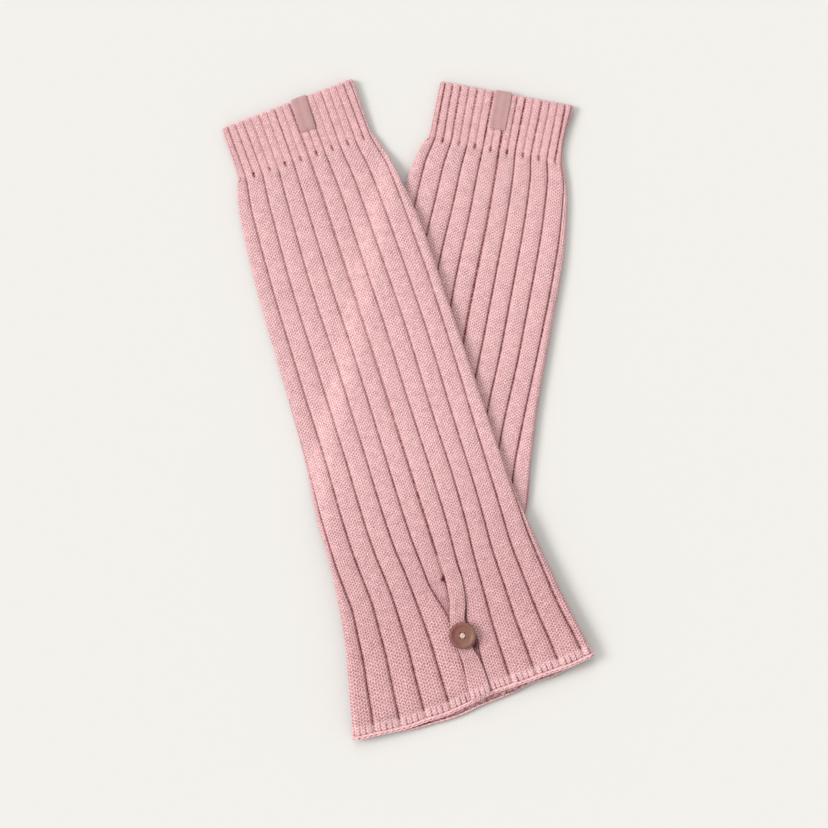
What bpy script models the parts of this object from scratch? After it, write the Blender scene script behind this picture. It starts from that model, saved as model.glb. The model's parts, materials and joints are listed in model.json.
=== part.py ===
"""A pair of ribbed knit leg warmers, flattened and lying crossed on a level surface.

Each leg warmer is a knitted tube: a finely ribbed cuff, a long leg of broad ribs that
widens downwards, and a bound-off hem. The lower one lies flat on the surface. The upper
one lies across it and drapes down to the surface beside it; it has a short vent above
its hem, whose edges overlap by one rib and are held by a button.

Sizes in the tables are millimetres. +X is across the pair, +Y runs from hem to cuff and
+Z points up, away from the surface. "Across" and "down" are measured on a leg itself:
across its own centre line, and down its length from just inside the cuff's top edge.
"""

import math
from collections import namedtuple

import bmesh
import bpy

MM = 0.001

# The cloth. A wall is thinnest in the grooves between two ribs.
WALL = 1.8
BACK_WALL = 2.4
RIB_RISE = 1.2
CUFF_RIB_RISE = 0.8
PLY_GAP = 0.5
SEAM_GAP = 0.3

# The cuff, the hem and how the top and bottom edges lie.
CUFF_LENGTH = 33.0
MOUTH_GAP = 1.5
HEM_HEIGHT = 2.6
HEM_BULGE = 0.3
EDGE_ROUNDING = 0.6
SLANT_FADE = 60.0

# How the upper leg drapes down beside the lower one.
DRAPE_MARGIN = 4.0
DRAPE_LENGTH = 20.0

# The vent in the upper leg, and the rib that is buttoned over it.
VENT_TOP = 319.0
VENT_HOLE_LENGTH = 12.0
VENT_HOLE_HALF = 1.5
VENT_HALF = 0.5
GROOVE_HALF = 0.35
PLACKET_WALL = 1.9
PLACKET_RISE = 0.7

# The button, turned with a raised rim, and the thread that shows in its dish.
BUTTON_RADIUS = 8.7
BUTTON_THICKNESS = 3.0
BUTTON_DISH = 0.9
BUTTON_DISH_RADIUS = 6.0
BUTTON_ACROSS = 5.1
BUTTON_DOWN = 361.4
THREAD_RADIUS = 1.7
THREAD_HEIGHT = 1.0

# The plain label, a band folded over the cuff's top edge.
LABEL_WIDTH = 10.6
LABEL_THICKNESS = 0.6
LABEL_STAND = 0.9
LABEL_INSIDE = 6.0

# Widths down each leg. left, right: from the centre line to either fold. near_left,
# near_right, second: from the middle groove to the first and second groove beside it.
# pitch_left, pitch_right: the rib spacing beyond the second groove.
Section = namedtuple("Section", "down left right near_left near_right second pitch_left pitch_right")
UPPER_SECTIONS = [
    Section(0.0, 45.0, 46.0, 10.6, 10.6, 21.4, 10.7, 10.5),
    Section(33.0, 44.5, 47.0, 10.8, 10.8, 21.6, 10.8, 10.6),
    Section(39.0, 46.5, 48.8, 10.9, 10.9, 21.8, 11.0, 10.7),
    Section(52.0, 49.6, 52.7, 11.5, 11.5, 23.0, 11.6, 11.4),
    Section(65.0, 51.5, 54.8, 11.9, 11.9, 23.6, 12.0, 11.7),
    Section(97.0, 54.5, 59.3, 12.2, 12.2, 24.2, 12.3, 11.9),
    Section(130.0, 56.0, 60.5, 12.5, 12.5, 24.8, 12.6, 12.1),
    Section(195.0, 57.4, 62.5, 12.5, 12.5, 25.0, 12.8, 12.2),
    Section(228.0, 58.9, 63.5, 12.6, 12.6, 25.2, 12.9, 12.2),
    Section(260.0, 62.0, 64.8, 12.8, 12.8, 25.5, 13.1, 12.2),
    Section(292.0, 62.7, 66.2, 12.4, 12.4, 25.0, 13.3, 12.3),
    Section(312.0, 64.3, 68.5, 11.2, 11.2, 23.4, 13.5, 12.8),
    Section(325.0, 65.7, 70.2, 10.4, 10.4, 22.3, 13.6, 13.2),
    Section(345.0, 68.7, 72.9, 5.4, 7.2, 21.5, 14.4, 14.1),
    Section(358.0, 72.0, 74.8, 3.6, 6.4, 21.0, 15.0, 14.7),
    Section(390.0, 79.8, 80.0, 5.0, 6.6, 21.4, 16.8, 16.2),
    Section(402.0, 83.5, 82.6, 5.6, 7.2, 21.8, 17.5, 16.5),
]
LOWER_SECTIONS = [
    Section(0.0, 42.5, 45.8, 10.6, 10.6, 21.2, 10.6, 10.6),
    Section(20.0, 43.0, 43.6, 10.6, 10.6, 21.2, 10.6, 10.6),
    Section(34.0, 43.5, 45.2, 10.6, 10.6, 21.2, 10.6, 10.6),
    Section(39.0, 46.0, 46.8, 10.9, 10.9, 21.8, 10.9, 10.9),
    Section(49.0, 49.0, 50.0, 11.5, 11.5, 23.0, 11.6, 11.4),
    Section(65.0, 52.0, 53.0, 11.9, 11.9, 23.7, 12.0, 11.7),
    Section(97.0, 54.5, 56.5, 12.3, 12.3, 24.6, 12.4, 12.1),
    Section(130.0, 55.0, 57.0, 12.5, 12.5, 25.0, 12.5, 12.2),
    Section(195.0, 57.0, 58.0, 12.3, 12.3, 24.4, 12.5, 12.1),
    Section(228.0, 58.5, 60.6, 12.3, 12.3, 24.4, 12.6, 12.1),
    Section(260.0, 61.0, 63.0, 12.5, 12.5, 24.8, 12.8, 12.2),
    Section(295.0, 60.8, 59.5, 12.4, 12.4, 24.8, 12.6, 12.0),
    Section(338.0, 63.5, 64.5, 13.0, 13.0, 26.0, 13.2, 12.8),
    Section(385.0, 73.0, 75.0, 15.0, 15.0, 30.0, 15.0, 14.8),
]

# How far the hem's edge hangs past the leg's own length, in front and behind.
Edge = namedtuple("Edge", "across front back")
UPPER_HEM_EDGE = [
    Edge(-83.0, 3.4, 2.0),
    Edge(-75.0, 4.4, 4.5),
    Edge(-65.0, 5.2, 5.5),
    Edge(-55.0, 6.2, 6.8),
    Edge(-45.0, 6.7, 8.6),
    Edge(-32.0, 6.2, 9.0),
    Edge(-20.0, 6.2, 9.4),
    Edge(-10.0, 4.9, 9.0),
    Edge(-3.0, 3.8, 8.0),
    Edge(5.0, 2.6, 7.0),
    Edge(13.0, 1.6, 6.4),
    Edge(26.0, 1.3, 5.4),
    Edge(39.0, 1.0, 2.8),
    Edge(52.0, 0.3, 3.2),
    Edge(65.0, 0.0, 0.8),
    Edge(78.0, -1.6, -1.2),
    Edge(83.0, -2.4, -2.4),
]
LOWER_HEM_EDGE = [Edge(-75.0, 0.0, 0.0), Edge(75.0, 0.0, 0.0)]

# The rib buttoned over the vent: its centre line and half its width down its length.
Strip = namedtuple("Strip", "down across half")
PLACKET = [
    Strip(318.5, 10.6, 4.8),
    Strip(325.0, 10.65, 4.95),
    Strip(331.5, 9.95, 5.0),
    Strip(338.0, 8.9, 4.9),
    Strip(344.5, 7.0, 5.0),
    Strip(352.0, 4.4, 4.65),
    Strip(361.0, 4.2, 4.4),
    Strip(371.0, 4.5, 4.5),
    Strip(377.0, 5.3, 4.9),
    Strip(385.0, 5.3, 5.7),
    Strip(393.0, 4.9, 6.2),
    Strip(401.5, 4.5, 6.4),
]

# Where the rings of points lie down each piece.
UPPER_ROWS = [36, 40, 46, 55, 67, 82, 99, 116, 133, 150, 167, 184, 201, 219, 238, 257,
              276, 294, 308, VENT_TOP, 325, 333, 345, 358, 371, 384, 391]
LOWER_ROWS = [36, 40, 46, 55, 70, 95, 130, 165, 200, 230, 255, 275, 295, 315, 335, 360]

RIBS_TO_EDGE = 3
EDGE_STEPS = 10
FOLD_ANGLES = (30, 60, 90, 120, 150)

Column = namedtuple("Column", "kind value inner")


def smooth(t):
    """0 to 1 with a level start and end."""
    t = min(max(t, 0.0), 1.0)
    return t * t * (3 - 2 * t)


def table_at(table, where):
    """A table's row at any value of its first column, on a smooth curve through its rows."""
    last = len(table) - 1
    i = 0
    while i < last - 1 and where > table[i + 1][0]:
        i += 1
    before, a, b, after = table[max(i - 1, 0)], table[i], table[i + 1], table[min(i + 2, last)]
    span = b[0] - a[0]
    t = min(max((where - a[0]) / span, 0.0), 1.0)
    values = []
    for p, v0, v1, n in zip(before, a, b, after):
        slope0 = (v1 - p) / (b[0] - before[0]) * span
        slope1 = (n - v0) / (after[0] - a[0]) * span
        values.append(
            v0 * (2 * t**3 - 3 * t**2 + 1)
            + slope0 * (t**3 - 2 * t**2 + t)
            + v1 * (3 * t**2 - 2 * t**3)
            + slope1 * (t**3 - t**2)
        )
    return type(a)(*values)


class Leg:
    """One leg warmer: its centre line on the surface, its widths and what it rests on.

    top_edge is where down its length the cuff's edge lies at its middle.
    """

    def __init__(self, name, top, heading, end_heading, bend, sections, hem_edge, groove,
                 top_edge, top_slant, below=None):
        self.name = name
        self.sections = sections
        self.hem_edge = hem_edge
        self.groove = groove
        self.top_edge = top_edge
        self.top_slant = top_slant
        self.length = sections[-1].down
        self.below = below
        # A station every millimetre: where the centre line is and which way it runs.
        self.stations = []
        x, y = top
        for step in range(int(self.length) + 12):
            turn = smooth((step - bend[0]) / (bend[1] - bend[0]))
            angle = math.radians(heading + (end_heading - heading) * turn)
            self.stations.append((x, y, math.sin(angle), -math.cos(angle)))
            x += math.sin(angle)
            y -= math.cos(angle)

    def place(self, across, down):
        """The point on the surface, from the distances across and down the leg."""
        i = min(max(int(down), 0), len(self.stations) - 1)
        x, y, along_x, along_y = self.stations[i]
        rest = down - i
        return x + rest * along_x - across * along_y, y + rest * along_y + across * along_x

    def slanted(self, across, down, front=1.0):
        """A distance down, moved to follow the slant of the top edge and the line of the hem.

        front is 1 on the front and 0 on the back, whose hem hangs lower.
        """
        edge = table_at(self.hem_edge, across)
        hang = front * edge.front + (1 - front) * edge.back
        toward_top = smooth(1 - down / SLANT_FADE)
        toward_hem = smooth(1 - (self.length - down) / SLANT_FADE)
        return down + across * self.top_slant * toward_top + hang * toward_hem

    def beyond(self, x, y):
        """How far a point of the surface lies outside this leg's outline."""
        nearest = min(range(0, int(self.length) + 1, 2),
                      key=lambda i: (x - self.stations[i][0]) ** 2 + (y - self.stations[i][1]) ** 2)
        sx, sy, along_x, along_y = self.stations[nearest]
        across = -(x - sx) * along_y + (y - sy) * along_x
        down = nearest + (x - sx) * along_x + (y - sy) * along_y
        width = table_at(self.sections, down)
        side = max(across - width.right, -width.left - across)
        end = max(-down, down - self.length)
        if side > 0 and end > 0:
            return math.hypot(side, end)
        return max(side, end)

    def support(self, x, y):
        """Height of what lies under the cloth: the surface, or the leg below it."""
        if self.below is None:
            return 0.0
        height = BACK_WALL + PLY_GAP + WALL + RIB_RISE + SEAM_GAP
        return height * (1 - smooth((self.below.beyond(x, y) - DRAPE_MARGIN) / DRAPE_LENGTH))


def rib_across(leg, width, ribs):
    """Across position of a point counted in ribs from the leg's middle groove."""
    count = abs(ribs)
    near = width.near_right if ribs > 0 else width.near_left
    if count <= 1:
        reach = near * count
    elif count <= 2:
        reach = near + (width.second - near) * (count - 1)
    else:
        reach = width.second + (width.pitch_right if ribs > 0 else width.pitch_left) * (count - 2)
    return leg.groove + math.copysign(reach, ribs)


def ribs_at(leg, width, across):
    """The rib count at a point beyond the second groove."""
    reach = abs(across - leg.groove) - width.second
    pitch = width.pitch_right if across > leg.groove else width.pitch_left
    return math.copysign(2 + reach / pitch, across - leg.groove)


def crown(ribs, broad):
    """0 in a groove and 1 on a rib's crown. Broad ribs are flatter than a cuff's fine ones."""
    if broad:
        return 1 - abs(2 * (ribs % 1) - 1) ** 3
    return 1 - abs(2 * ((2 * ribs) % 1) - 1) ** 2


def vent_half(leg, down):
    """Half the gap between the two sides of the middle groove."""
    if leg.below is None or down < VENT_TOP:
        return GROOVE_HALF
    hole = 1 - smooth((down - VENT_TOP) / VENT_HOLE_LENGTH)
    return VENT_HALF + (VENT_HOLE_HALF - VENT_HALF) * hole


def ply_gap(down):
    """The space between the front and back of the tube, wider at the cuff's mouth."""
    return PLY_GAP + (MOUTH_GAP - PLY_GAP) * (1 - smooth(down / CUFF_LENGTH))


def ring_point(leg, down, column, outside, inset=0.0, bulge=0.0):
    """One point of a leg's ring, on the wall's outside or inside, in millimetres.

    inset draws the wall's outside in, for a rounded edge. bulge swells it, but never
    under the flat back.
    """
    width = table_at(leg.sections, down)
    broad = down > CUFF_LENGTH
    rise = RIB_RISE if broad else CUFF_RIB_RISE
    gap = ply_gap(down)
    front_inside = BACK_WALL + gap
    radius = (front_inside + WALL + rise) / 2
    turn = 0.0
    kind, value, _ = column
    side = math.copysign(1, value)
    tangent = {1: width.right - radius, -1: -width.left + radius}
    if kind == "lip":
        across = leg.groove + side * vent_half(leg, down)
        lift = 0.0
    elif kind in ("front", "back"):
        across = rib_across(leg, width, value)
        lift = crown(value, broad)
    else:
        if kind in ("edge", "back_edge"):
            start = rib_across(leg, width, side * RIBS_TO_EDGE)
            across = start + (tangent[side] - start) * abs(value)
        else:
            across = tangent[side]
            turn = math.radians(abs(value))
        lift = crown(ribs_at(leg, width, across), broad)
    share = 1.0 if kind in ("lip", "front", "edge") else 0.0
    swell = bulge - inset
    if kind == "fold":
        reach = (radius + swell if outside else radius - WALL) * math.sin(turn)
        across += side * reach
        share = (1 + math.cos(turn)) / 2
        if outside:
            height = share * (front_inside + WALL + rise * lift + swell) + (1 - share) * inset
        else:
            height = BACK_WALL + gap * share
    elif share:
        height = front_inside + (WALL + rise * lift + swell if outside else 0.0)
    else:
        height = inset if outside else BACK_WALL
    x, y = leg.place(across, leg.slanted(across, down, share))
    return x, y, leg.support(x, y) + height


def columns_round(per_rib, inner_every, vented):
    """The points round a ring, from the left fold over the front and back underneath.

    per_rib is how many columns lie in each broad rib on the front. Every inner_every-th
    of them is also a column on the wall's inside and on the flat back.
    """
    span = RIBS_TO_EDGE * per_rib
    edge = [Column("edge", i / EDGE_STEPS, i % 2 == 0) for i in range(1, EDGE_STEPS + 1)]
    front = []
    for i in range(-span, span + 1):
        if i == 0 and vented:
            front += [Column("lip", -1, True), Column("lip", 1, True)]
        else:
            front.append(Column("front", i / per_rib, i % inner_every == 0))
    left_edge = [Column("edge", -c.value, c.inner) for c in reversed(edge)]
    right_fold = [Column("fold", angle, angle == 90) for angle in FOLD_ANGLES]
    left_fold = [Column("fold", -angle, angle == 90) for angle in reversed(FOLD_ANGLES)]
    back_span = span // inner_every
    back_step = inner_every / per_rib
    back = [Column("back", i * back_step, True) for i in range(back_span, -back_span - 1, -1)]
    right_back = [Column("back_edge", c.value, True) for c in reversed(edge) if c.inner]
    left_back = [Column("back_edge", -c.value, True) for c in edge if c.inner]
    return left_edge + front + edge + right_fold + right_back + back + left_back + left_fold


def new_object(name, bm, material):
    """Turns a finished bmesh, in millimetres, into a named object in metres."""
    bmesh.ops.recalc_face_normals(bm, faces=bm.faces)
    bmesh.ops.scale(bm, vec=(MM, MM, MM), verts=bm.verts)
    mesh = bpy.data.meshes.new(name)
    bm.to_mesh(mesh)
    bm.free()
    mesh.shade_smooth()
    mesh.set_sharp_from_angle(angle=math.radians(50))
    mesh.materials.append(material)
    obj = bpy.data.objects.new(name, mesh)
    bpy.context.scene.collection.objects.link(obj)
    return obj


def close_end(bm, rim, inner_start, inner_end):
    """Closes a wall's end between points of its outside and two points of its inside."""
    middle = len(rim) // 2
    for i in range(len(rim) - 1):
        bm.faces.new((rim[i], rim[i + 1], inner_start if i < middle else inner_end))
    bm.faces.new((rim[middle], inner_end, inner_start))


def knit_tube(name, leg, rows, columns, material, vent_from=None):
    """A length of a leg: a ring of wall for each row of (down, inset, bulge).

    From the row at vent_from on, the wall is open between the groove's two lips.
    """
    bm = bmesh.new()
    outer, inner = [], []
    inside = [i for i, column in enumerate(columns) if column.inner]
    for down, inset, bulge in rows:
        outer.append([bm.verts.new(ring_point(leg, down, c, True, inset, bulge)) for c in columns])
        inner.append([bm.verts.new(ring_point(leg, down, columns[i], False)) for i in inside])
    count, inside_count = len(columns), len(inside)
    lips = [i for i, column in enumerate(columns) if column.kind == "lip"]
    first_lip = lips[0] if lips else None

    def is_open(column, row):
        return vent_from is not None and column == first_lip and rows[row][0] >= vent_from

    for r in range(len(rows) - 1):
        for c in range(count):
            if not is_open(c, r):
                n = (c + 1) % count
                bm.faces.new((outer[r][c], outer[r][n], outer[r + 1][n], outer[r + 1][c]))
        for k in range(inside_count):
            if not is_open(inside[k], r):
                n = (k + 1) % inside_count
                bm.faces.new((inner[r][n], inner[r][k], inner[r + 1][k], inner[r + 1][n]))
    for r in (0, len(rows) - 1):
        for k in range(inside_count):
            if is_open(inside[k], r):
                continue
            n = (k + 1) % inside_count
            end = inside[n] if n else inside[0] + count
            rim = [outer[r][i % count] for i in range(inside[k], end + 1)]
            close_end(bm, rim, inner[r][k], inner[r][n])
    if vent_from is not None:
        open_rows = [r for r in range(len(rows)) if rows[r][0] >= vent_from]
        k = inside.index(first_lip)
        for c, i in ((first_lip, k), (first_lip + 1, k + 1)):
            for r in open_rows[:-1]:
                bm.faces.new((outer[r][c], outer[r + 1][c], inner[r + 1][i], inner[r][i]))
        r = open_rows[0]
        if r > 0:
            bm.faces.new((outer[r][first_lip], outer[r][first_lip + 1], inner[r][k + 1], inner[r][k]))
    return new_object(name, bm, material)


def front_height(leg, across, down):
    """Height of the outside of a leg's front, as if its ribs were all crown."""
    x, y = leg.place(across, down)
    rise = RIB_RISE if down > CUFF_LENGTH else CUFF_RIB_RISE
    return leg.support(x, y) + BACK_WALL + ply_gap(down) + WALL + rise


def placket(name, leg, material):
    """The rib that overlaps the vent, a crowned strip laid on the leg's front."""
    bm = bmesh.new()
    steps = (-1.0, -0.75, -0.4, 0.0, 0.4, 0.75, 1.0)
    downs = [row.down for row in PLACKET]
    downs = sorted(downs + [(a + b) / 2 for a, b in zip(downs, downs[1:])])
    tops, bottoms = [], []
    for down in downs:
        strip = table_at(PLACKET, down)
        full = smooth((down - PLACKET[0].down) / VENT_HOLE_LENGTH)
        wall = PLACKET_WALL * (0.35 + 0.65 * full)
        top, bottom = [], []
        for step in steps:
            across = strip.across + strip.half * step
            over_hem = HEM_BULGE * smooth(1 - (leg.length - 2 * HEM_HEIGHT - down) / 3)
            base = front_height(leg, across, down) + SEAM_GAP + over_hem
            rounding = PLACKET_RISE * full * (1 - abs(step) ** 3)
            edge = wall * (0.45 if abs(step) == 1 else 1.0)
            x, y = leg.place(across, leg.slanted(across, down))
            top.append(bm.verts.new((x, y, base + edge + rounding)))
            bottom.append(bm.verts.new((x, y, base)))
        tops.append(top)
        bottoms.append(bottom)
    for r in range(len(downs) - 1):
        for c in range(len(steps) - 1):
            bm.faces.new((tops[r][c], tops[r][c + 1], tops[r + 1][c + 1], tops[r + 1][c]))
            bm.faces.new((bottoms[r][c], bottoms[r + 1][c], bottoms[r + 1][c + 1], bottoms[r][c + 1]))
        for c in (0, -1):
            bm.faces.new((tops[r][c], tops[r + 1][c], bottoms[r + 1][c], bottoms[r][c]))
    for r in (0, -1):
        for c in range(len(steps) - 1):
            bm.faces.new((tops[r][c], bottoms[r][c], bottoms[r][c + 1], tops[r][c + 1]))
    return new_object(name, bm, material)


def label(name, leg, centre, front_length, material):
    """A plain woven band folded over the cuff's top edge, sewn on its front and inside."""
    bm = bmesh.new()
    inside = BACK_WALL + MOUTH_GAP
    over = inside + WALL + CUFF_RIB_RISE + SEAM_GAP
    under = inside - SEAM_GAP
    edge, t = leg.top_edge, LABEL_THICKNESS
    top, end = edge - LABEL_STAND, edge + front_length
    # The band's two faces, as (down, height) from its front end over the edge to its
    # inside end.
    settle = MOUTH_GAP - ply_gap(end)
    outer_face = [(end, over + t - settle), (end / 2, over + t - settle / 2), (edge, over + t),
                  (top, over - 0.6), (top, under + 0.6), (edge, under - t),
                  (edge + LABEL_INSIDE, under - t)]
    inner_face = [(end, over - settle), (end / 2, over - settle / 2), (edge, over),
                  (top + t, over - 0.9), (top + t, under + 0.2), (edge, under),
                  (edge + LABEL_INSIDE, under)]
    edges = [centre + LABEL_WIDTH * (i / 4 - 0.5) for i in range(5)]
    shells = []
    for face in (outer_face, inner_face):
        rows = []
        for down, height in face:
            row = []
            for across in edges:
                x, y = leg.place(across, leg.slanted(across, down))
                row.append(bm.verts.new((x, y, leg.support(x, y) + height)))
            rows.append(row)
        shells.append(rows)
    outer, inner = shells
    last = len(edges) - 1
    for r in range(len(outer_face) - 1):
        for c in range(last):
            bm.faces.new((outer[r][c], outer[r][c + 1], outer[r + 1][c + 1], outer[r + 1][c]))
            bm.faces.new((inner[r][c], inner[r + 1][c], inner[r + 1][c + 1], inner[r][c + 1]))
        for c in (0, last):
            bm.faces.new((outer[r][c], outer[r + 1][c], inner[r + 1][c], inner[r][c]))
    for r in (0, -1):
        for c in range(last):
            bm.faces.new((outer[r][c], inner[r][c], inner[r][c + 1], outer[r][c + 1]))
    return new_object(name, bm, material)


def turned(name, centre, profile, material, segments=32):
    """A solid turned round an upright axis, from (radius, height) points ending on it."""
    bm = bmesh.new()
    verts = [bm.verts.new((centre[0] + r, centre[1], centre[2] + z)) for r, z in profile]
    edges = [bm.edges.new(pair) for pair in zip(verts, verts[1:])]
    bmesh.ops.spin(bm, geom=verts + edges, cent=centre, axis=(0, 0, 1),
                   angle=math.tau, steps=segments, use_duplicate=False)
    bmesh.ops.remove_doubles(bm, verts=bm.verts, dist=0.001)
    return new_object(name, bm, material)


def knit_leg(leg, rows, columns, cuff_columns, yarn, hem_bulge, vent_from=None):
    """A whole leg warmer's knitted pieces: its cuff, its leg and its bound-off hem."""
    cuff = [(leg.top_edge, EDGE_ROUNDING, 0.0), (leg.top_edge + 1.4, 0.0, 0.0), (CUFF_LENGTH / 2, 0.0, 0.0),
            (CUFF_LENGTH, 0.0, 0.0)]
    knit_tube(leg.name + "_cuff", leg, cuff, cuff_columns, yarn)
    hem_top = leg.length - HEM_HEIGHT
    body = [(CUFF_LENGTH + SEAM_GAP, 0.0, 0.0)]
    body += [(float(down), 0.0, 0.0) for down in rows]
    body.append((hem_top - SEAM_GAP, 0.0, 0.0))
    knit_tube(leg.name + "_leg", leg, body, columns, yarn, vent_from)
    hem = [(hem_top, 0.0, 0.0), (hem_top + 0.5, 0.0, hem_bulge), (leg.length - 0.7, 0.0, hem_bulge),
           (leg.length, EDGE_ROUNDING, 0.0)]
    knit_tube(leg.name + "_hem", leg, hem, columns, yarn, hem_top if vent_from else None)


def finish(name, colour, roughness, metallic=0.0):
    """A plain material of one colour."""
    material = bpy.data.materials.new(name)
    material.use_nodes = True
    shader = material.node_tree.nodes["Principled BSDF"]
    shader.inputs["Base Color"].default_value = (*colour, 1.0)
    shader.inputs["Roughness"].default_value = roughness
    shader.inputs["Metallic"].default_value = metallic
    return material


for old in list(bpy.data.objects):
    bpy.data.objects.remove(old)

yarn = finish("pink_yarn", (0.59, 0.32, 0.31), 0.95)
ribbon = finish("mauve_ribbon", (0.46, 0.27, 0.27), 0.7)
shell = finish("mauve_brown_button", (0.19, 0.10, 0.09), 0.4)
thread = finish("pale_thread", (0.62, 0.41, 0.38), 0.9)

lower = Leg("lower", (62.45, 202.63), -10.5, 17.5, (236, 342), LOWER_SECTIONS, LOWER_HEM_EDGE, 3.2, -2.9, 0.0)
upper = Leg("upper", (-78.25, 196.43), 17.5, 17.5, (0, 1), UPPER_SECTIONS, UPPER_HEM_EDGE, 5.0, -2.3, -0.06,
            below=lower)

knit_leg(lower, LOWER_ROWS, columns_round(4, 4, False), columns_round(8, 8, False), yarn, 0.0)
knit_leg(upper, UPPER_ROWS, columns_round(4, 2, True), columns_round(8, 8, False), yarn, HEM_BULGE, VENT_TOP)
label("upper_label", upper, 7.7, 21.2, ribbon)
label("lower_label", lower, -0.5, 24.4, ribbon)
placket("upper_placket", upper, yarn)

button_x, button_y = upper.place(BUTTON_ACROSS, BUTTON_DOWN)
button_z = (front_height(upper, BUTTON_ACROSS, BUTTON_DOWN) + SEAM_GAP
            + PLACKET_WALL + PLACKET_RISE + SEAM_GAP)
rim_width = BUTTON_RADIUS - BUTTON_DISH_RADIUS
turned("upper_button", (button_x, button_y, button_z), [
    (0.0, 0.0),
    (BUTTON_RADIUS - 2.2, 0.0),
    (BUTTON_RADIUS - 0.5, 0.9),
    (BUTTON_RADIUS, 1.7),
    (BUTTON_RADIUS - 0.4, BUTTON_THICKNESS - 0.5),
    (BUTTON_RADIUS - rim_width / 2, BUTTON_THICKNESS),
    (BUTTON_DISH_RADIUS + 0.3, BUTTON_THICKNESS - 0.4),
    (BUTTON_DISH_RADIUS - 0.9, BUTTON_THICKNESS - BUTTON_DISH),
    (0.0, BUTTON_THICKNESS - BUTTON_DISH),
], shell)
turned("upper_button_thread", (button_x, button_y, button_z + BUTTON_THICKNESS - BUTTON_DISH + SEAM_GAP), [
    (0.0, 0.0),
    (THREAD_RADIUS * 0.8, 0.0),
    (THREAD_RADIUS, THREAD_HEIGHT * 0.4),
    (THREAD_RADIUS * 0.7, THREAD_HEIGHT * 0.85),
    (0.0, THREAD_HEIGHT),
], thread, segments=12)
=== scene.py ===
import json
import math

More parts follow.
